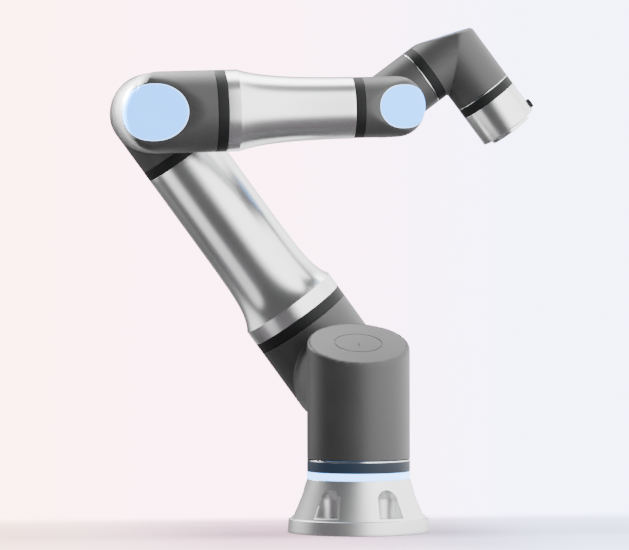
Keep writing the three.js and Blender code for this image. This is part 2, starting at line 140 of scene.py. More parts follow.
def loft(name, loops, closed=False):
    """A solid through loops of equally many points: its ends meet, or each is closed by a fan."""
    loops = np.asarray(loops, float)
    rows, count = loops.shape[:2]
    points = loops.reshape(-1, 3)
    faces = []
    for row in range(rows if closed else rows - 1):
        a = row * count
        b = ((row + 1) % rows) * count
        for i in range(count):
            j = (i + 1) % count
            faces.append((a + i, a + j, b + j, b + i))
    if not closed:
        points = np.vstack([points, loops[0].mean(axis=0), loops[-1].mean(axis=0)])
        start = rows * count
        last = (rows - 1) * count
        for i in range(count):
            j = (i + 1) % count
            faces.append((j, i, start))
            faces.append((last + i, last + j, start + 1))
    return make_object(name, points, faces)


def softened(profile, closed):
    """A profile of (radius, height, fillet) corners with each corner rounded by its fillet."""
    steps = 5
    corners = [np.array(corner[:2]) for corner in profile]
    rounded = []
    for i, (radius, height, fillet) in enumerate(profile):
        corner = corners[i]
        at_end = not closed and i in (0, len(profile) - 1)
        if fillet == 0 or at_end:
            rounded.append(corner)
            continue
        before = corners[i - 1] - corner
        after = corners[(i + 1) % len(corners)] - corner
        reach_before, reach_after = np.linalg.norm(before), np.linalg.norm(after)
        before, after = before / reach_before, after / reach_after
        half_turn = 0.5 * math.acos(np.clip(-before @ after, -1, 1))
        reach = min(fillet * math.tan(half_turn), 0.45 * reach_before, 0.45 * reach_after)
        for step in range(steps + 1):
            s = step / steps
            pull = reach * ((1 - s) ** 2 * before + s ** 2 * after)
            rounded.append(corner + pull)
    return rounded


def lathe(name, profile, closed=True, count=AROUND):
    """A turned solid about Z, from a profile of (radius, height, fillet) corners."""
    angles = np.arange(count) * 2 * math.pi / count
    loops = []
    for radius, height in softened(profile, closed):
        loops.append(np.stack([
            radius * np.cos(angles), radius * np.sin(angles), np.full(count, height)], axis=1))
    if not closed:
        loops = loops[1:-1]
    return loft(name, loops, closed)


def cut(piece, *cutters):
    """Takes closed solids out of a piece, and removes them."""
    for cutter in cutters:
        difference = piece.modifiers.new("cut", "BOOLEAN")
        difference.operation = "DIFFERENCE"
        difference.solver = "EXACT"
        difference.object = cutter
        bpy.context.view_layer.update()
        shape = piece.evaluated_get(bpy.context.evaluated_depsgraph_get())
        mesh = bpy.data.meshes.new_from_object(shape)
        piece.modifiers.clear()
        piece.data = mesh
        bpy.data.objects.remove(cutter)


def drilled(radius, start, end, place=Matrix.Identity(4), count=48):
    """A round cutter along Z, moved to its place."""
    cutter = lathe("cutter", [(0, start, 0), (radius, start, 0), (radius, end, 0), (0, end, 0)],
                   closed=False, count=count)
    cutter.data.transform(place)
    return cutter


def place_piece(piece, name, matrix, body, slot, *nodes, crease=32, finish=None):
    """Names and finishes a piece, puts it in place and hides the CAD nodes it stands for."""
    piece.name = name
    piece.data.name = name
    piece.data.materials.clear()
    piece.data.materials.append(LOOKS[finish or slot])
    piece.data.polygons.foreach_set("use_smooth", [True] * len(piece.data.polygons))
    piece.data.set_sharp_from_angle(angle=math.radians(crease))
    piece.matrix_world = matrix
    bpy.context.view_layer.update()
    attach(piece, body)
    if nodes:
        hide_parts(*nodes)


# ---------- Link frames ----------

def link_frame(x, y, z, turn):
    """A link's own frame: its origin on its joint, its +Z turned about +Y by turn."""
    return Matrix.Translation((x, y, z)) @ Matrix.Rotation(turn, 4, "Y")


def facing(link, z_direction, x_direction, height=0.0):
    """A casting's frame in a link: its Z and X point along the given directions of the link."""
    z, x = Vector(z_direction), Vector(x_direction)
    y = z.cross(x)
    turn = Matrix((x, y, z)).transposed().to_4x4()
    return link @ Matrix.Translation((0, 0, height)) @ turn


def joint_point(name):
    return Vector(JOINTS[name]["pos_m"])


def joint_axis(name):
    return Vector(JOINTS[name]["axis"])


SHOULDER_POINT = joint_point("shoulder_joint")
ELBOW_POINT = joint_point("elbow_joint")
WRIST_1_POINT = joint_point("wrist_1_joint")
WRIST_2_POINT = joint_point("wrist_2_joint")
UPPER_ARM_LENGTH = math.hypot(ELBOW_POINT.x - SHOULDER_POINT.x, ELBOW_POINT.z - SHOULDER_POINT.z)
FOREARM_LENGTH = math.hypot(WRIST_1_POINT.x - ELBOW_POINT.x, WRIST_1_POINT.z - ELBOW_POINT.z)
WRIST_2_OFFSET = math.hypot(WRIST_2_POINT.x - WRIST_1_POINT.x, WRIST_2_POINT.z - WRIST_1_POINT.z)
TOOL_LENGTH = 0.1434


def turn_of(direction):
    """How far +Z is turned about +Y to point along a direction."""
    return math.atan2(direction.x, direction.z)


BASE = Matrix.Rotation(FOOT_TURN, 4, "Z")
SHOULDER = link_frame(0, 0, SHOULDER_POINT.z, 0)
UPPER_ARM = link_frame(0, UPPER_ARM_PLANE, SHOULDER_POINT.z, turn_of(ELBOW_POINT - SHOULDER_POINT))
FOREARM = link_frame(ELBOW_POINT.x, FOREARM_PLANE, ELBOW_POINT.z,
                     turn_of(WRIST_1_POINT - ELBOW_POINT))
WRIST_1 = link_frame(WRIST_1_POINT.x, WRIST_PLANE, WRIST_1_POINT.z,
                     turn_of(joint_axis("wrist_2_joint")))
WRIST_2 = link_frame(WRIST_2_POINT.x, WRIST_PLANE, WRIST_2_POINT.z,
                     turn_of(joint_axis("wrist_3_joint")))


# ---------- Finishes ----------

def add_node(tree, kind, **settings):
    node = tree.nodes.new(kind)
    for name, value in settings.items():
        setattr(node, name, value)
    return node


def noise(tree, stretch, detail):
    """A noise over the piece's own coordinates, with so many grains to the metre along each axis."""
    place = add_node(tree, "ShaderNodeTexCoord")
    mapping = add_node(tree, "ShaderNodeMapping")
    mapping.inputs["Scale"].default_value = stretch
    texture = add_node(tree, "ShaderNodeTexNoise")
    texture.inputs["Scale"].default_value = 1.0
    texture.inputs["Detail"].default_value = detail
    tree.links.new(place.outputs["Object"], mapping.inputs["Vector"])
    tree.links.new(mapping.outputs["Vector"], texture.inputs["Vector"])
    return texture.outputs["Fac"]


def ranged(tree, value, low, high):
    """Spreads a noise softly over a range."""
    spread = add_node(tree, "ShaderNodeMapRange", interpolation_type="SMOOTHSTEP")
    spread.inputs["From Min"].default_value = 0.2
    spread.inputs["From Max"].default_value = 0.8
    spread.inputs["To Min"].default_value = low
    spread.inputs["To Max"].default_value = high
    tree.links.new(value, spread.inputs["Value"])
    return spread.outputs["Result"]


def look(name, dark, light, roughness, metallic=0.0, patches=(18, 18, 18), grain=(1400, 1400, 1400),
         bump=1.5e-5, specular=0.5, glow=None, glow_strength=0.0, painted_rim_highlight=False):
    """A finish with patches of colour, uneven gloss and a fine grain in its surface; its glow is painted light
    except on the lit ring, and a marked rim gets a painted highlight.
    """
    material = bpy.data.materials.new(name)
    material.use_nodes = True
    tree = material.node_tree
    shader = tree.nodes["Principled BSDF"]
    patch = noise(tree, patches, 3)
    fine = noise(tree, grain, 4)
    mixed = add_node(tree, "ShaderNodeMath", operation="MULTIPLY_ADD")
    mixed.inputs[1].default_value = 0.35
    tree.links.new(fine, mixed.inputs[0])
    tree.links.new(patch, mixed.inputs[2])
    ramp = add_node(tree, "ShaderNodeValToRGB")
    ramp.color_ramp.elements[0].position = 0.45
    ramp.color_ramp.elements[1].position = 0.9
    ramp.color_ramp.elements[0].color = (*dark, 1)
    ramp.color_ramp.elements[1].color = (*light, 1)
    tree.links.new(mixed.outputs[0], ramp.inputs["Fac"])
    tree.links.new(ramp.outputs["Color"], shader.inputs["Base Color"])
    tree.links.new(ranged(tree, patch, *roughness), shader.inputs["Roughness"])
    bumps = add_node(tree, "ShaderNodeBump")
    bumps.inputs["Strength"].default_value = 1.0
    bumps.inputs["Distance"].default_value = bump
    tree.links.new(fine, bumps.inputs["Height"])
    tree.links.new(bumps.outputs["Normal"], shader.inputs["Normal"])
    shader.inputs["Metallic"].default_value = metallic
    shader.inputs["Specular IOR Level"].default_value = specular
    # Emission: the lit ring's own light, but painted glow on the covers and the seal ring, which are no lamps
    if glow:
        shader.inputs["Emission Color"].default_value = (*glow, 1)
        shader.inputs["Emission Strength"].default_value = glow_strength
    # Painted highlight: the emission turns paler towards a cover's rim
    if painted_rim_highlight:
        rim = add_node(tree, "ShaderNodeAttribute", attribute_name="rim")
        rim_highlight_ramp = add_node(tree, "ShaderNodeValToRGB")
        rim_highlight_ramp.color_ramp.elements[0].color = (*glow, 1)
        rim_highlight_ramp.color_ramp.elements[1].color = (0.72, 0.86, 1.0, 1)
        tree.links.new(rim.outputs["Fac"], rim_highlight_ramp.inputs["Fac"])
        tree.links.new(rim_highlight_ramp.outputs["Color"], shader.inputs["Emission Color"])
    return material


TURNED = (3, 3, 2600)
LOOKS = {
    "coated_casting": look("coated_casting", (0.044, 0.044, 0.045), (0.053, 0.053, 0.054),
                           (0.44, 0.52), bump=3e-6, specular=0.4),
    # The shoulder's cover is the casting's grey, made lighter as painted light on its upward face
    "grey_cover": look("grey_cover", (0.062, 0.062, 0.063), (0.071, 0.071, 0.072), (0.44, 0.5),
                       bump=8e-6, specular=0.4),
    # The blue covers glow though they are no lamps: painted light, with a painted highlight at their rims
    "blue_cover": look("blue_cover", (0.02, 0.26, 0.74), (0.03, 0.29, 0.79), (0.32, 0.38),
                       bump=5e-6, specular=0.25, glow=(0.045, 0.31, 1.0), glow_strength=4.4,
                       painted_rim_highlight=True),
    # A copy of the blue cover for the wrists: lighter, with a weaker painted glow, painted for how the light falls
    # on them; its rims have a painted highlight
    "blue_cover_painted_light_copy": look("blue_cover_painted_light_copy", (0.10, 0.36, 0.80), (0.12, 0.39, 0.84),
                              (0.32, 0.38), bump=5e-6, glow=(0.05, 0.32, 1.0), glow_strength=0.8,
                              painted_rim_highlight=True),
    "black_ring": look("black_ring", (0.009, 0.0095, 0.010), (0.014, 0.0145, 0.015), (0.5, 0.6),
                       bump=1e-5, specular=0.15),
    # The seal ring by the lit ring: a bluer black and a faint glow, painted light spilling from the lit ring
    "seal_painted_ring_glow": look("seal_painted_ring_glow", (0.010, 0.012, 0.014), (0.015, 0.017, 0.020), (0.5, 0.6),
                         bump=1e-5, specular=0.2, glow=(0.22, 0.5, 1.0), glow_strength=0.05),
    "bare_aluminium": look("bare_aluminium", (0.70, 0.705, 0.71), (0.76, 0.765, 0.77), (0.22, 0.27),
                           metallic=1.0, patches=(5, 5, 5), grain=TURNED, bump=5e-6),
    "satin_aluminium": look("satin_aluminium", (0.70, 0.705, 0.71), (0.76, 0.765, 0.77),
                            (0.36, 0.41), metallic=1.0, patches=(5, 5, 5), grain=TURNED, bump=5e-6),
    "polished_trim": look("polished_trim", (0.52, 0.53, 0.54), (0.6, 0.61, 0.62), (0.14, 0.2),
                          metallic=1.0, grain=TURNED, bump=3e-6),
    "light_diffuser": look("light_diffuser", (0.2, 0.45, 0.7), (0.24, 0.5, 0.74), (0.3, 0.4),
                           bump=4e-6, glow=(0.15, 0.42, 1.0), glow_strength=7.0),
    "winding_copper": look("winding_copper", (0.42, 0.16, 0.06), (0.62, 0.28, 0.12), (0.3, 0.5),
                           metallic=0.9, grain=(900, 900, 60), bump=6e-5),
    "rotor_steel": look("rotor_steel", (0.4, 0.41, 0.43), (0.52, 0.53, 0.55), (0.2, 0.35),
                        metallic=1.0, bump=1e-5),
    "gear_steel": look("gear_steel", (0.3, 0.31, 0.33), (0.4, 0.41, 0.43), (0.3, 0.45),
                       metallic=1.0, bump=1e-5),
    "circuit_board": look("circuit_board", (0.008, 0.10, 0.03), (0.015, 0.15, 0.05), (0.3, 0.5),
                          patches=(160, 160, 160), bump=2e-5),
}


# ---------- Castings ----------
# A casting's own frame: the joint's seam faces +Z, the arm leaves along +X, and the flat with
# the cover faces -Z, tilted towards -X. A field is negative inside the solid.

class Flat:
    """The flat on a casting's outer corner and the outline of the cover on it."""

    def __init__(self, tilt, height, centre, half_length, half_width, edge, near_power=2.0,
                 far_power=2.0):
        self.distance = height * math.cos(tilt)
        self.out = np.array([-math.sin(tilt), 0, -math.cos(tilt)])
        self.along = np.array([math.cos(tilt), 0, -math.sin(tilt)])
        self.centre = centre
        self.half_length = half_length
        self.half_width = half_width
        self.edge = edge
        self.powers = (near_power, far_power)

    def outline(self, shrink, count=AROUND):
        """(u, v) points round the cover: an oval, fuller than an ellipse where a power is over 2."""
        angle = np.arange(count) * 2 * math.pi / count
        power = np.where(np.cos(angle) > 0, *self.powers)
        u = np.sign(np.cos(angle)) * np.abs(np.cos(angle)) ** (2 / power)
        v = np.sign(np.sin(angle)) * np.abs(np.sin(angle)) ** (2 / power)
        return self.centre + u * (self.half_length - shrink), v * (self.half_width - shrink)

    def lifted(self, u, v, height):
        """The points at a height over the flat."""
        across = np.array([0.0, 1.0, 0.0])
        return (np.multiply.outer(u, self.along) + np.multiply.outer(v, across)
                + np.multiply.outer(self.distance + height, self.out))


def corner_flat(radius, edge, length=0.8, width=0.7, powers=(2.0, 2.0), centre=0.053):
    return Flat(math.radians(19.3), 0.69 * radius, centre * radius, length * radius, width * radius,
                edge, *powers)


def shoulder_flat(radius, edge):
    tilt, height, rim = math.radians(20), 0.053, 0.0045
    return Flat(tilt, height, height * math.sin(tilt), (radius - rim) / math.cos(tilt),
                radius - rim, edge)


def soft_max(a, b, blend):
    """The larger of two fields, with the edge where they meet rounded."""
    blend = np.maximum(blend, 1e-9)
    overlap = np.maximum(blend - np.abs(a - b), 0) / blend
    return np.maximum(a, b) + overlap * overlap * blend / 4


def fillet_blend(radius, cosine):
    """The blend that rounds an edge to a radius, from the cosine between its faces' normals."""
    return 4 * radius * (1 / np.sqrt(np.maximum((1 + cosine) / 2, 1e-6)) - 1)


class Casting:
    """Two cylinders that meet at a right angle, cut by a flat."""

    def __init__(self, radius, joint_end, arm_end, flat, mitred=True, outer=0.4, inner=0.05):
        self.radius = radius
        self.joint_end = joint_end
        self.arm_end = arm_end
        self.flat = flat
        self.mitred = mitred
        self.outer = outer * radius
        self.inner = inner * radius

    def field(self, p, wall=0.0, floor=0.0):
        """The solid's field, or that of its hollow when there is a wall."""
        x, y, z = p[..., 0], p[..., 1], p[..., 2]
        radius = self.radius - wall
        from_x = np.hypot(y, z) + 1e-9
        from_z = np.hypot(x, y) + 1e-9
        dx, dz = from_x - radius, from_z - radius
        cosine = y * y / (from_x * from_z)
        inside = -soft_max(-dx, -dz, fillet_blend(self.inner, cosine))
        if self.mitred:
            reach = 2 * np.sqrt(np.maximum(radius * radius - y * y, 0)) + 1e-9
            gate = np.clip((np.abs(x + z) / reach - 0.05) / 0.6, 0, 1)
            inside = -soft_max(-dx, -dz, fillet_blend(self.inner, cosine) * gate)
            outside = soft_max(dx, dz, fillet_blend(self.outer, cosine) * gate)
            shape = np.where(x + z < 0, outside, inside)
        else:
            shape = np.where(x > 0, inside, dz)
        along_x = np.clip(0.5 + (x - z) / 0.02, 0, 1)
        if not self.mitred:
            along_x = np.where(x > 0, np.clip(0.5 + (dz - dx) / 0.02, 0, 1), 0)
        tilt_x, tilt_z = self.flat.out[0], self.flat.out[2]
        cosine = along_x * tilt_z * z / from_x + (1 - along_x) * tilt_x * x / from_z
        beyond = p @ self.flat.out - (self.flat.distance - floor)
        # Only the side that faces the same way as the flat has an edge with it
        cosine = np.maximum(cosine, 0)
        blend = np.maximum(fillet_blend(self.flat.edge, cosine), 0.2 * self.flat.edge)
        return soft_max(shape, beyond, blend)

    def stations(self):
        """Origins and outward directions of the cross-sections, from the seam round to the arm."""
        pivot = 0.5 * (self.radius + min(self.joint_end, self.arm_end))
        step = 0.004
        rows = []
        for z in np.linspace(self.joint_end, pivot, max(2, int((self.joint_end - pivot) / step)))[:-1]:
            rows.append(((0, 0, z), (-1, 0, 0)))
        for angle in np.linspace(0, math.pi / 2, 61):
            c, s = math.cos(angle), math.sin(angle)
            away = pivot / max(c, s)
            rows.append(((pivot - away * c, 0, pivot - away * s), (-c, 0, -s)))
        for x in np.linspace(pivot, self.arm_end, max(2, int((self.arm_end - pivot) / step)))[1:]:
            rows.append(((x, 0, 0), (0, 0, -1)))
        return rows

    def skin(self, wall=0.0, floor=0.0, edge=0.0008):
        """Loops of points on the surface, with the two open ends' edges rounded."""
        rows = self.stations()
        insets = [0.0] * len(rows)
        if wall == 0:
            steps = [math.radians(angle) for angle in (0, 22, 45, 67, 90)]
            first, last = rows[0], rows[-1]
            starts = [((0, 0, self.joint_end - edge * (1 - math.cos(t))), first[1]) for t in steps]
            ends = [((self.arm_end - edge * (1 - math.cos(t)), 0, 0), last[1]) for t in steps]
            inset = [edge * (1 - math.sin(t)) for t in steps]
            rows = starts + rows[1:-1] + ends[::-1]
            insets = inset + [0.0] * (len(rows) - 2 * len(steps)) + inset[::-1]
        angle = np.arange(AROUND) * 2 * math.pi / AROUND
        origin = np.array([row[0] for row in rows])[:, None, :]
        away = np.array([row[1] for row in rows])[:, None, :]
        direction = np.cos(angle)[None, :, None] * away
        direction = direction + np.sin(angle)[None, :, None] * np.array([0, 1, 0])
        inset = np.array(insets)[:, None]
        low = np.zeros((len(rows), AROUND))
        high = np.full((len(rows), AROUND), 2.2 * self.radius)
        for _ in range(40):
            middle = (low + high) / 2
            value = self.field(origin + middle[..., None] * direction, wall, floor) + inset
            low = np.where(value < 0, middle, low)
            high = np.where(value < 0, high, middle)
        return origin + low[..., None] * direction

    def outward(self, p):
        """The surface's direction at points on or near it."""
        step = 1e-4
        slopes = [self.field(p + step * axis) - self.field(p - step * axis) for axis in np.eye(3)]
        slope = np.stack(slopes, axis=-1)
        return slope / np.linalg.norm(slope, axis=-1, keepdims=True)

    def shade(self, piece, sunk=0.0):
        """Gives the outer skin the exact surface's normals and leaves the other faces theirs."""
        mesh = piece.data
        points = np.empty(len(mesh.vertices) * 3)
        mesh.vertices.foreach_get("co", points)
        points = points.reshape(-1, 3) + sunk * self.flat.out
        exact = self.outward(points)
        on_skin = np.abs(self.field(points)) < 0.0008
        corner_vertex = np.empty(len(mesh.loops), int)
        mesh.loops.foreach_get("vertex_index", corner_vertex)
        normals = np.empty(len(mesh.loops) * 3)
        mesh.corner_normals.foreach_get("vector", normals)
        normals = normals.reshape(-1, 3)
        face_normal = np.empty(len(mesh.polygons) * 3)
        mesh.polygons.foreach_get("normal", face_normal)
        corners = np.empty(len(mesh.polygons), int)
        mesh.polygons.foreach_get("loop_total", corners)
        facing_out = np.repeat(face_normal.reshape(-1, 3), corners, axis=0)
        exact = exact[corner_vertex]
        use = on_skin[corner_vertex] & (np.sum(exact * facing_out, axis=1) > 0.85)
        mesh.normals_split_custom_set(np.where(use[:, None], exact, normals).tolist())

    def height_over_flat(self, u, v):
        """How high the surface stands over the flat's plane."""
        low = np.full(u.shape, -0.04)
        high = np.full(u.shape, 0.01)
        for _ in range(36):
            middle = (low + high) / 2
            inside = self.field(self.flat.lifted(u, v, middle)) < 0
            low = np.where(inside, middle, low)
            high = np.where(inside, high, middle)
        return low

    def patch(self, name, shrink, top, bottom, edge=0.0):
        """A plate under the cover's outline that follows the surface, between two depths."""
        rings = [(edge * (1 - math.cos(t)), edge * (1 - math.sin(t)))
                 for t in np.radians([0, 18, 36, 54, 72, 90])] if edge else [(0.0, 0.0)]
        inward = [1 - share for share in COVER_STEPS]
        flat = self.flat
        shell = []
        u0, v0 = flat.outline(shrink + rings[-1][0])
        for depth, drops in ((bottom, None), (top, rings)):
            loops = []
            for inset, drop in (drops or [(0.0, 0.0)]):
                u, v = flat.outline(shrink + inset)
                loops.append(flat.lifted(u, v, self.height_over_flat(u, v) - depth - drop))
            for share in inward:
                u = flat.centre + (u0 - flat.centre) * share
                v = v0 * share
                loops.append(flat.lifted(u, v, self.height_over_flat(u, v) - depth))
            shell.append(loops)
        return loft(name, shell[0][::-1] + shell[1])

    def housing(self, name):
        """The hollow casting, with a seat for its cover and an opening under it."""
        outer = self.skin()
        hollow_floor = COVER_THICKNESS + COVER_INSET + WALL / 2
        inner = self.skin(WALL, hollow_floor)
        piece = loft(name, np.concatenate([outer, inner[::-1]]), closed=True)
        seat = self.patch("seat", 0.0, -0.012, COVER_THICKNESS + COVER_INSET)
        opening = self.patch("opening", COVER_LEDGE, -0.012, hollow_floor + WALL)
        cut(piece, seat, opening)
        return piece

    def cover(self, name, edge):
        return self.patch(name, COVER_GAP, COVER_INSET, COVER_THICKNESS, edge)


def mark_painted_rim_highlight(cover, rows):
    """Marks the outermost loops of a cover's front for a painted highlight, palest at the rim; they follow those
    of its back.
    """
    rim = cover.data.attributes.new("rim", "FLOAT", "POINT")
    values = np.zeros(len(cover.data.vertices))
    first = (1 + len(COVER_STEPS)) * AROUND
    for row in range(rows):
        values[first + row * AROUND:first + (row + 1) * AROUND] = 1 - row / (rows - 1)
    rim.data.foreach_set("value", values)


def add_casting(name, body, place, casting, cover_slot, edge=0.0016, cover_finish=None):
    """A housing and its cover; the drive inside stays as the CAD nodes."""
    housing = casting.housing(f"{name}_casting")
    place_piece(housing, f"{name}_casting", place, body, "coated_casting", f"{name}_housing")
    casting.shade(housing)
    cover = casting.cover(f"{name}_cap", edge)
    if cover_slot == "grey_cover":
        engrave_mark(cover, casting.flat)
    else:
        # The blue covers get a painted highlight at their rims
        mark_painted_rim_highlight(cover, 6)
    place_piece(cover, f"{name}_cap", place, body, cover_slot, f"{name}_cover", finish=cover_finish)
    casting.shade(cover, COVER_INSET)


def engrave_mark(cover, flat):
    """A plain ring with an index tick, cut shallowly into the cover."""
    mark_radius, line, depth = 0.034, 0.0016, 0.001
    across = np.array([0.0, 1.0, 0.0])
    turn = Matrix((Vector(flat.along), Vector(-across), Vector(flat.out))).transposed().to_4x4()
    centre = flat.lifted(np.array(flat.centre), np.array(0.0), np.array(0.0))
    place = Matrix.Translation(Vector(centre)) @ turn
    low, high = -COVER_INSET - depth, 0.004
    groove = lathe("groove", [
        (mark_radius - line / 2, low, 0), (mark_radius + line / 2, low, 0),
        (mark_radius + line / 2, high, 0), (mark_radius - line / 2, high, 0)])
    groove.data.transform(place)
    tick_loops = []
    for height in (low, high):
        outline = [(-0.0145, -line / 2), (-0.0025, -line / 2), (-0.0025, line / 2),
                   (-0.0145, line / 2)]
        tick_loops.append([(u, v, height) for u, v in outline])
    tick = loft("tick", tick_loops)
    tick.data.transform(place)
    cut(cover, groove, tick)


# ---------- Rings and tubes ----------

def add_ring(node, body, link, radius, reach, slot, bore=0.01, edge=0.0006, finish=None):
    """A ring about the link's Z between two heights."""
    low, high = reach
    inner = radius - bore
    profile = [(inner, low, 0.0002), (radius, low, edge), (radius, high, edge), (inner, high, 0.0002)]
    place_piece(lathe(node, profile), f"{node}_turned", link, body, slot, node, finish=finish)


def flared_profile(start, end, collar_end, collar_radius, end_radius, flare):
    """A collar, then a flare that narrows quickly at first; hollow."""
    wall = 0.004
    outside = []
    for step in np.linspace(0, 1, 48) ** 1.6:
        height = collar_end + step * (end - collar_end)
        fade = math.exp((collar_end - height) / flare)
        outside.append((end_radius + (collar_radius - end_radius) * fade, height, 0))
    bore = end_radius - wall
    edge = 0.0008
    lip = outside[-1]
    outside[-1] = (lip[0], lip[1], edge)
    inside = [(bore, end, 0.0004), (bore, 0.6 * start + 0.4 * end, 0.01),
              (collar_radius - 2 * wall, start, 0.0004)]
    return [(collar_radius, start, edge), *outside, *inside]


def add_upper_arm():
    shoulder_end = UPPER_ARM_PLANE - SHOULDER_SEAM - SEAM_GAP / 2
    elbow_end = UPPER_ARM_PLANE - ELBOW_SEAM - SEAM_GAP / 2
    add_casting("upper_arm_shoulder", "upper_arm", facing(UPPER_ARM, (0, -1, 0), (0, 0, 1)),
                Casting(BIG, shoulder_end, SHOULDER_CLAMP[0] - FIT_GAP,
                        corner_flat(BIG, 0.014)), "blue_cover")
    add_ring("upper_arm_lower_clamp_ring", "upper_arm", UPPER_ARM, BIG, SHOULDER_CLAMP, "black_ring")
    end = UPPER_ARM_LENGTH - ELBOW_UPPER_CLAMP[1] - FIT_GAP
    tube = lathe("tube", flared_profile(SHOULDER_CLAMP[1] + FIT_GAP, end, 0.1316, BIG, MIDDLE, 0.022))
    place_piece(tube, "upper_arm_spun_tube", UPPER_ARM, "upper_arm", "bare_aluminium",
                "upper_arm_tube", crease=13)
    upper = (UPPER_ARM_LENGTH - ELBOW_UPPER_CLAMP[1], UPPER_ARM_LENGTH - ELBOW_UPPER_CLAMP[0])
    add_ring("upper_arm_upper_clamp_ring", "upper_arm", UPPER_ARM, MIDDLE, upper, "black_ring")
    add_casting("upper_arm_elbow", "upper_arm",
                facing(UPPER_ARM, (0, -1, 0), (0, 0, -1), UPPER_ARM_LENGTH),
                Casting(MIDDLE, elbow_end, ELBOW_UPPER_CLAMP[0] - FIT_GAP,
                        corner_flat(MIDDLE, 0.014)), "blue_cover")


def add_forearm():
    elbow_end = ELBOW_SEAM - FOREARM_PLANE - SEAM_GAP / 2
    wrist_end = WRIST_SEAM - FOREARM_PLANE - SEAM_GAP / 2
    add_casting("forearm_elbow", "forearm", facing(FOREARM, (0, 1, 0), (0, 0, 1)),
                Casting(MIDDLE, elbow_end, ELBOW_LOWER_CLAMP[0] - FIT_GAP,
                        corner_flat(MIDDLE, 0.017, length=0.85, powers=(2.0, 2.3), centre=0.005),
                        inner=0.02), "blue_cover")
    add_ring("forearm_lower_clamp_ring", "forearm", FOREARM, MIDDLE, ELBOW_LOWER_CLAMP, "black_ring")
    end = FOREARM_LENGTH - WRIST_CLAMP[1] - FIT_GAP
    tube = lathe("tube", flared_profile(ELBOW_LOWER_CLAMP[1] + FIT_GAP, end, 0.11, MIDDLE, SMALL,
                                        0.048))
    place_piece(tube, "forearm_spun_tube", FOREARM, "forearm", "bare_aluminium", "forearm_tube",
                crease=13)
    upper = (FOREARM_LENGTH - WRIST_CLAMP[1], FOREARM_LENGTH - WRIST_CLAMP[0])
    add_ring("forearm_upper_clamp_ring", "forearm", FOREARM, SMALL, upper, "black_ring")
    add_casting("forearm_wrist", "forearm",
                facing(FOREARM, (0, 1, 0), (0, 0, -1), FOREARM_LENGTH),
                Casting(SMALL, wrist_end, WRIST_CLAMP[0] - FIT_GAP,
                        corner_flat(SMALL, 0.011, length=0.89, width=0.72, powers=(2.1, 2.4),
                                    centre=-0.02)),
                "blue_cover")


def add_wrists():
    wrist_1_end = WRIST_2_TRIM[0] - SEAM_GAP / 2
    add_casting("wrist_1", "wrist_1", facing(WRIST_1, (0, 0, 1), (0, -1, 0)),
                Casting(SMALL, wrist_1_end, WRIST_PLANE - WRIST_SEAM - SEAM_GAP / 2,
                        corner_flat(SMALL, 0.006)), "blue_cover",
                cover_finish="blue_cover_painted_light_copy")
    add_ring("wrist_2_trim_ring", "wrist_2", WRIST_1, SMALL, WRIST_2_TRIM, "polished_trim")
    add_ring("wrist_2_seal_ring", "wrist_2", WRIST_1, SMALL, WRIST_2_SEAL, "black_ring")
    wrist_2_end = WRIST_3_TRIM[0] - SEAM_GAP / 2
    add_casting("wrist_2", "wrist_2", facing(WRIST_2, (0, 0, 1), (1, 0, 0)),
                Casting(SMALL, wrist_2_end, WRIST_2_OFFSET - WRIST_2_SEAL[1] - FIT_GAP,
                        corner_flat(SMALL, 0.006)), "blue_cover",
                cover_finish="blue_cover_painted_light_copy")
    add_ring("wrist_3_trim_ring", "wrist_3", WRIST_2, SMALL, WRIST_3_TRIM, "polished_trim")
    add_ring("wrist_3_seal_ring", "wrist_3", WRIST_2, SMALL, WRIST_3_SEAL, "black_ring")


# ---------- Tool flange ----------

def add_tool_flange():
    """The flange with its raised face, threaded holes, dowel hole and cable connector."""
    start = WRIST_3_SEAL[1] + FIT_GAP
    face = TOOL_LENGTH - FLANGE_STEP
    flange = lathe("flange", [
        (0, start, 0), (SMALL, start, 0.0006),
        (SMALL, face - 0.0012, 0.0006), (SMALL - 0.0012, face, 0.0006),
        (FLANGE_RAISED + 0.0004, face, 0.0006), (FLANGE_RAISED, TOOL_LENGTH, 0.0008),
        (FLANGE_RECESS, TOOL_LENGTH, 0.0006), (FLANGE_RECESS, face, 0.0006), (0, face, 0)],
        closed=False)
    for i in range(4):
        angle = math.radians(45 + 90 * i)
        x, y = FLANGE_HOLE_CIRCLE * math.cos(angle), FLANGE_HOLE_CIRCLE * math.sin(angle)
        place = Matrix.Translation((x, y, 0))
        cut(flange, drilled(FLANGE_HOLE, TOOL_LENGTH - 0.012, TOOL_LENGTH + 0.002, place))
    dowel = Matrix.Translation((FLANGE_HOLE_CIRCLE, 0, 0))
    cut(flange, drilled(FLANGE_HOLE, TOOL_LENGTH - 0.007, TOOL_LENGTH + 0.002, dowel))
    height = TOOL_LENGTH - CONNECTOR_BEHIND_FACE
    sideways = Matrix.Translation((0, 0, height)) @ Matrix.Rotation(math.radians(-90), 4, "Y")
    cut(flange, drilled(0.0073, 0.038, 0.06, sideways))
    place_piece(flange, "tool_flange_turned", WRIST_2, "wrist_3", "bare_aluminium", "tool_flange")
    connector = lathe("connector", [
        (0, 0.0383, 0), (0.007, 0.0383, 0.0003), (0.007, 0.049, 0.0005), (0.0046, 0.049, 0.0004),
        (0.0046, 0.046, 0.0003), (0, 0.046, 0)], closed=False, count=64)
    place_piece(connector, "tool_connector_socket", WRIST_2 @ sideways, "wrist_3", "black_ring",
                "tool_connector")


# ---------- Foot and its rings ----------

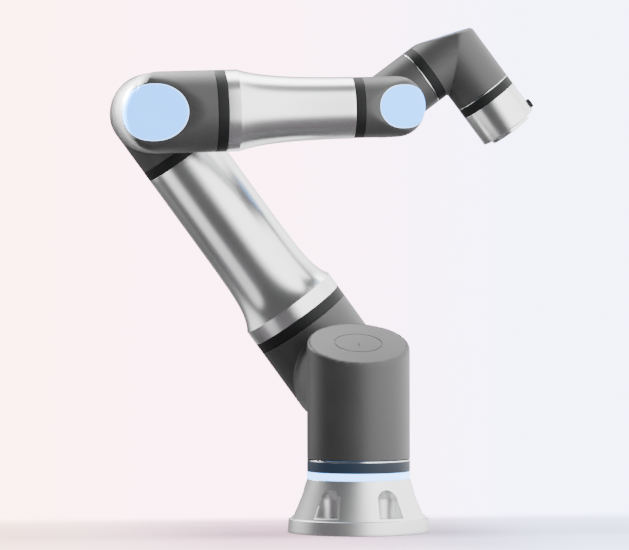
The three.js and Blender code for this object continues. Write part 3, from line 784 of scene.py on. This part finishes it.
def foot_radius(z):
    """The outline without its pockets: an upright rim, a small step and a hollow cone."""
    rim = FOOT_RADIUS - 0.0015 * z / RIM_TOP
    share = np.clip((FOOT_TOP - z) / (FOOT_TOP - RIM_TOP), 0, 1)
    cone = BIG + 0.023 * share ** 1.15
    step = np.clip((z - RIM_TOP + 0.0006) / 0.0012, 0, 1)
    return rim + (cone - rim) * step


def pocket_field(r, angle, z):
    """Negative inside the nearest bolt pocket: round at the back, splayed at the mouth, domed."""
    sector = 2 * math.pi / POCKET_COUNT
    angle = (angle + sector / 2) % sector - sector / 2
    x, y = r * np.cos(angle) - POCKET_CIRCLE, np.abs(r * np.sin(angle))
    back = np.hypot(x, y)
    slope = 1 / math.hypot(1, POCKET_SPLAY)
    mouth = (y - POCKET_RADIUS - POCKET_SPLAY * x) * slope + POCKET_RADIUS
    plan = np.where(x < 0, back, mouth)
    domed = np.hypot(np.maximum(plan, 0), np.maximum(z - POCKET_SHOULDER, 0))
    return np.maximum(domed - POCKET_RADIUS, POCKET_FLOOR - z)


def foot_angles():
    """Angles round the foot, closer together where the pockets' walls stand."""
    sector = 2 * math.pi / POCKET_COUNT
    wall = np.radians(np.linspace(9.8, 13.8, 30))
    back = np.radians(np.linspace(-9.2, 9.2, 27))
    rest = np.linspace(np.radians(14.6), sector - np.radians(14.6), 20)
    one = np.concatenate([-wall[::-1], back, wall, rest])
    return np.concatenate([one + i * sector for i in range(POCKET_COUNT)])


def foot_outside(heights, insets):
    """Loops of points on the foot's outside, found along rays from its axis."""
    angle = foot_angles()[None, :, None]
    z = np.array(heights)[:, None, None]
    inset = np.array(insets)[:, None, None]
    reach = np.linspace(0.05, 0.11, 61)[None, None, :]

    def field(r):
        return soft_max(r - foot_radius(z), -pocket_field(r, angle, z), 0.0012) + inset

    outside = field(np.broadcast_to(reach, (len(heights), angle.shape[1], 61))) > 0
    first = np.argmax(outside, axis=2)[..., None]
    high = reach[0, 0][first]
    low = reach[0, 0][np.maximum(first - 1, 0)]
    for _ in range(30):
        middle = (low + high) / 2
        inside = field(middle) < 0
        low = np.where(inside, middle, low)
        high = np.where(inside, high, middle)
    r = low[..., 0]
    angle = angle[..., 0]
    up = np.broadcast_to(z[..., 0], r.shape)
    return np.stack([r * np.cos(angle), r * np.sin(angle), up], axis=2)


def add_foot():
    edge = 0.0008
    steps = np.radians([0, 30, 60, 90])
    low = [(edge * (1 - math.cos(t)), edge * (1 - math.sin(t))) for t in steps]
    high = [(FOOT_TOP - a, b) for a, b in low[::-1]]
    close = [-0.0008, -0.0005, -0.0002, 0.0, 0.00015, 0.0003, 0.0006, 0.001, 0.0015]
    middle = [0.004, 0.009, 0.014, 0.017, 0.0185]
    middle += [RIM_TOP + away for away in close] + [POCKET_FLOOR + away for away in close]
    middle += list(np.linspace(0.0275, 0.066, 40)) + list(np.linspace(0.0685, 0.0745, 4))
    rows = low + [(z, 0.0) for z in middle] + high
    outer = foot_outside([z for z, _ in rows], [inset for _, inset in rows])
    angle = foot_angles()
    circle = np.stack([np.cos(angle), np.sin(angle)], axis=1)
    inner = [np.column_stack([FOOT_BORE * circle, np.full(len(angle), z)])
             for z in np.linspace(FOOT_TOP, 0, 4)]
    foot = loft("foot", np.concatenate([outer, inner]), closed=True)
    for i in range(POCKET_COUNT):
        turn = Matrix.Rotation(math.radians(60 * i), 4, "Z") @ Matrix.Translation((POCKET_CIRCLE, 0, 0))
        cut(foot, drilled(BOLT_HOLE, -0.005, 0.034, turn))
        cut(foot, drilled(SCREW_SEAT, POCKET_FLOOR - 0.0006, 0.034, turn))
    sideways = Matrix.Translation((0, 0, SOCKET_HEIGHT)) @ Matrix.Rotation(math.radians(-90), 4, "X")
    cut(foot, drilled(SOCKET_RADIUS + 0.0004, 0.056, 0.11, sideways, 96))
    cut(foot, drilled(CABLE_HOLE, 0.01, 0.062, sideways))
    place_piece(foot, "base_cast_foot", BASE, "base", "bare_aluminium", "base_foot",
                finish="satin_aluminium")

    socket = lathe("socket", [
        (0, 0.062, 0), (0.013, 0.062, 0.0005), (0.013, 0.074, 0), (SOCKET_RADIUS, 0.074, 0.0005),
        (SOCKET_RADIUS, 0.092, 0.0009), (0.0135, 0.092, 0.0006), (0.0135, 0.079, 0.0004),
        (0, 0.079, 0)], closed=False, count=96)
    place_piece(socket, "base_cable_inlet", BASE @ sideways, "base", "black_ring",
                "base_cable_socket")


def add_base_rings():
    """The lit ring, the seal ring over it, tinted blue and glowing faintly as painted light from the lit ring, and
    the bright trim, each about the base's axis.
    """
    for node, slot, finish, edge in (
            ("base_light_ring", "light_diffuser", "light_diffuser", 0.0008),
            ("base_seal_ring", "black_ring", "seal_painted_ring_glow", 0.0006),
            ("base_trim_ring", "polished_trim", "polished_trim", 0.0004)):
        low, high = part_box(node)
        add_ring(node, "base", BASE, BIG, (low.z, high.z), slot, edge=edge, finish=finish)


def add_shoulder():
    casting_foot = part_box("shoulder_housing")[0].z
    casting = Casting(BIG, SHOULDER_POINT.z - casting_foot, SHOULDER_SEAM - SEAM_GAP / 2,
                      shoulder_flat(BIG, 0.004), mitred=False, inner=0.12)
    add_casting("shoulder", "shoulder", facing(SHOULDER, (0, 0, -1), (0, 1, 0)), casting,
                "grey_cover", edge=0.0005)


def finish_drives():
    """The motors, shafts, gears and boards inside the castings keep their CAD shape."""
    slots = {row["node"]: row["material_slot"] for row in frame["record"]["subparts"]}
    for name, node in frame["nodes"].items():
        if name.split("_joint_")[-1] in ("motor_stator", "rotor_shaft", "strain_wave_gear",
                                         "control_board"):
            node.data.materials.clear()
            node.data.materials.append(LOOKS[slots[name]])


# ---------- Stage ----------

# Brightness of the window at the front right and of the dim studio round it
WINDOW_LIGHT = 5.0
STUDIO_LIGHT = 0.12

# The photograph's viewpoint: place, yaw, pitch and roll in degrees, and the lens in millimetres
CAMERA_PLACE = (-0.9895, -7.0069, 0.5129)
CAMERA_TURN = (-7.53, -1.167, -0.095)
CAMERA_LENS = 282.4

# Soft patches of light: direction, angles in degrees where it is full and where it ends, level
LIGHT_PATCHES = [
    ((0.1, 0.5, 0.85), 14, 34, 4.5),
    ((-0.77, -0.31, -0.56), 6, 20, 2.6),
    ((-0.85, 0.5, -0.1), 10, 30, 2.0),
    ((0.75, 0.65, 0.1), 15, 45, 2.4),
    ((0.1, 0.85, -0.5), 8, 28, 1.2),
]


def add_ramp(tree, value, low, high, stops):
    """A colour for each value between low and high, from (value, colour) stops."""
    spread = add_node(tree, "ShaderNodeMapRange")
    spread.inputs["From Min"].default_value = low
    spread.inputs["From Max"].default_value = high
    tree.links.new(value, spread.inputs["Value"])
    node = add_node(tree, "ShaderNodeValToRGB")
    ramp = node.color_ramp
    ramp.interpolation = "EASE"
    while len(ramp.elements) < len(stops):
        ramp.elements.new(1.0)
    for element, (at, colour) in zip(ramp.elements, stops):
        element.position = (at - low) / (high - low)
        element.color = (*colour, 1) if isinstance(colour, tuple) else (colour, colour, colour, 1)
    tree.links.new(spread.outputs["Result"], node.inputs["Fac"])
    return node.outputs["Color"]


def add_math(tree, operation, first, second):
    """A sum or product of a value and another value or a number."""
    node = add_node(tree, "ShaderNodeMath", operation=operation)
    tree.links.new(first, node.inputs[0])
    if isinstance(second, float):
        node.inputs[1].default_value = second
    else:
        tree.links.new(second, node.inputs[1])
    return node.outputs[0]


def add_floor():
    """A pale sheet that is clear far from the foot, so that it has no edge against the backdrop; near the foot it
    is dense and grey, a painted shadow pool round the base.
    """
    reach = 3.0
    floor = make_object("floor", [(-reach, -reach, 0), (reach, -reach, 0), (reach, reach, 0),
                                  (-reach, reach, 0)], [(0, 1, 2, 3)])
    material = bpy.data.materials.new("floor")
    material.use_nodes = True
    tree = material.node_tree
    shader = tree.nodes["Principled BSDF"]
    place = add_node(tree, "ShaderNodeTexCoord")
    axes = add_node(tree, "ShaderNodeSeparateXYZ")
    tree.links.new(place.outputs["Object"], axes.inputs["Vector"])
    # Painted shadow: the sheet is densest near the foot and fades to clear towards the front, the back and the
    # sides
    behind = add_ramp(tree, axes.outputs["Y"], -1.2, 0.6,
                      [(-1.0, 0.0), (-0.45, 0.5), (-0.2, 0.68), (-0.03, 0.86), (0.1, 0.8),
                       (0.2, 0.7), (0.37, 0.0)])
    sides = add_ramp(tree, axes.outputs["X"], -1.2, 1.2,
                     [(-1.1, 0.0), (-0.42, 0.74), (-0.15, 1.0), (0.1, 1.0), (0.3, 0.74),
                      (1.1, 0.0)])
    painted_shadow_density = add_math(tree, "MULTIPLY", behind, sides)
    shade = add_ramp(tree, noise(tree, (6, 6, 6), 3), 0.2, 0.8,
                     [(0.3, (0.11, 0.095, 0.105)), (0.7, (0.13, 0.115, 0.125))])
    tree.links.new(shade, shader.inputs["Base Color"])
    tree.links.new(painted_shadow_density, shader.inputs["Alpha"])
    shader.inputs["Roughness"].default_value = 0.8
    shader.inputs["Specular IOR Level"].default_value = 0.1
    floor.data.materials.append(material)


def add_world():
    """Pale to the eye, pink at the left and blue at the right. What lights the arm is a dim studio
    with a tall window at the front right and soft patches of light round it."""
    world = bpy.data.worlds.new("studio")
    bpy.context.scene.world = world
    world.use_nodes = True
    tree = world.node_tree
    tree.nodes.clear()
    out = add_node(tree, "ShaderNodeOutputWorld")
    seen, lit = add_node(tree, "ShaderNodeBackground"), add_node(tree, "ShaderNodeBackground")
    choose = add_node(tree, "ShaderNodeMixShader")
    path = add_node(tree, "ShaderNodeLightPath")
    place = add_node(tree, "ShaderNodeTexCoord")
    axes = add_node(tree, "ShaderNodeSeparateXYZ")
    direction = place.outputs["Generated"]
    tree.links.new(direction, axes.inputs["Vector"])

    pale = add_ramp(tree, axes.outputs["X"], 0.0, 0.25,
                    [(0.05, (1.0, 0.63, 0.53)), (0.12, (1.0, 0.59, 0.76)),
                     (0.18, (0.60, 0.64, 0.95))])
    tree.links.new(pale, seen.inputs["Color"])
    seen.inputs["Strength"].default_value = 10.0

    bearing = add_node(tree, "ShaderNodeMath", operation="ARCTAN2")
    ahead = add_math(tree, "MULTIPLY", axes.outputs["Y"], -1.0)
    tree.links.new(axes.outputs["X"], bearing.inputs[0])
    tree.links.new(ahead, bearing.inputs[1])
    upward = add_node(tree, "ShaderNodeMath", operation="ARCSINE")
    tree.links.new(axes.outputs["Z"], upward.inputs[0])
    across = add_ramp(tree, bearing.outputs[0], -math.pi, math.pi, [
        (math.radians(at), level) for at, level in (
            (-170, 0.02), (-5, 0.0), (4, 0.25), (11, 1.0), (75, 0.9), (120, 0.4), (170, 0.02))])
    along = add_ramp(tree, upward.outputs[0], -math.pi / 2, math.pi / 2, [
        (math.radians(at), level) for at, level in (
            (-60, 0.0), (-40, 0.03), (-34, 0.15), (-18, 0.95), (54, 1.0), (66, 0.06), (88, 0.03))])
    total = add_math(tree, "MULTIPLY", across, along)
    total = add_math(tree, "MULTIPLY", total, WINDOW_LIGHT)
    total = add_math(tree, "ADD", total, STUDIO_LIGHT)
    for towards, inner, outer, level in LIGHT_PATCHES:
        toward = add_node(tree, "ShaderNodeVectorMath", operation="DOT_PRODUCT")
        tree.links.new(direction, toward.inputs[0])
        toward.inputs[1].default_value = Vector(towards).normalized()
        patch = add_node(tree, "ShaderNodeMapRange", interpolation_type="SMOOTHSTEP")
        patch.inputs["From Min"].default_value = math.cos(math.radians(outer))
        patch.inputs["From Max"].default_value = math.cos(math.radians(inner))
        patch.inputs["To Max"].default_value = level
        tree.links.new(toward.outputs["Value"], patch.inputs["Value"])
        total = add_math(tree, "ADD", total, patch.outputs["Result"])
    lit.inputs["Color"].default_value = (1, 1, 1, 1)
    tree.links.new(total, lit.inputs["Strength"])

    tree.links.new(path.outputs["Is Camera Ray"], choose.inputs["Fac"])
    tree.links.new(lit.outputs["Background"], choose.inputs[1])
    tree.links.new(seen.outputs["Background"], choose.inputs[2])
    tree.links.new(choose.outputs["Shader"], out.inputs["Surface"])


def add_light(name, place, target, size, power, spread=180):
    """A rectangular lamp aimed at a point; a small spread keeps its light together."""
    lamp = bpy.data.lights.new(name, "AREA")
    lamp.shape = "RECTANGLE"
    lamp.size, lamp.size_y = size
    lamp.energy = power
    lamp.spread = math.radians(spread)
    holder = bpy.data.objects.new(name, lamp)
    bpy.context.scene.collection.objects.link(holder)
    aim = (Vector(target) - Vector(place)).to_track_quat("-Z", "Y")
    holder.matrix_world = Matrix.Translation(place) @ aim.to_matrix().to_4x4()
    holder.visible_camera = False


def add_lights():
    """One soft lamp overhead and two at the upper left that whiten the elbow's rim."""
    add_light("overhead", (0.1, 0.9, 2.6), (0, 0.1, 0.4), (2.4, 1.2), 45)
    add_light("rim", (-1.3, 1.6, 1.7), (-0.28, 0.05, 0.6), (0.5, 0.9), 90)
    add_light("glare", (-1.7, 0.9, 1.25), (-0.335, 0.0, 0.65), (0.12, 0.12), 6, spread=10)


def add_camera():
    """The photograph's viewpoint: a long lens a little to the left of the arm."""
    yaw, pitch, roll = (math.radians(angle) for angle in CAMERA_TURN)
    right = Vector((math.cos(yaw), math.sin(yaw), 0))
    forward = Vector((-math.sin(yaw) * math.cos(pitch), math.cos(yaw) * math.cos(pitch),
                      math.sin(pitch)))
    up = right.cross(forward)
    right, up = (math.cos(roll) * right + math.sin(roll) * up,
                 math.cos(roll) * up - math.sin(roll) * right)
    data = bpy.data.cameras.new("camera")
    data.sensor_width = 36.0
    data.lens = CAMERA_LENS
    data.clip_end = 200
    camera = bpy.data.objects.new("camera", data)
    turn = Matrix((right, up, -forward)).transposed().to_4x4()
    camera.matrix_world = Matrix.Translation(CAMERA_PLACE) @ turn
    bpy.context.scene.collection.objects.link(camera)
    bpy.context.scene.camera = camera


add_camera()
add_foot()
add_base_rings()
add_shoulder()
add_upper_arm()
add_forearm()
add_wrists()
add_tool_flange()
finish_drives()
add_floor()
add_world()
add_lights()
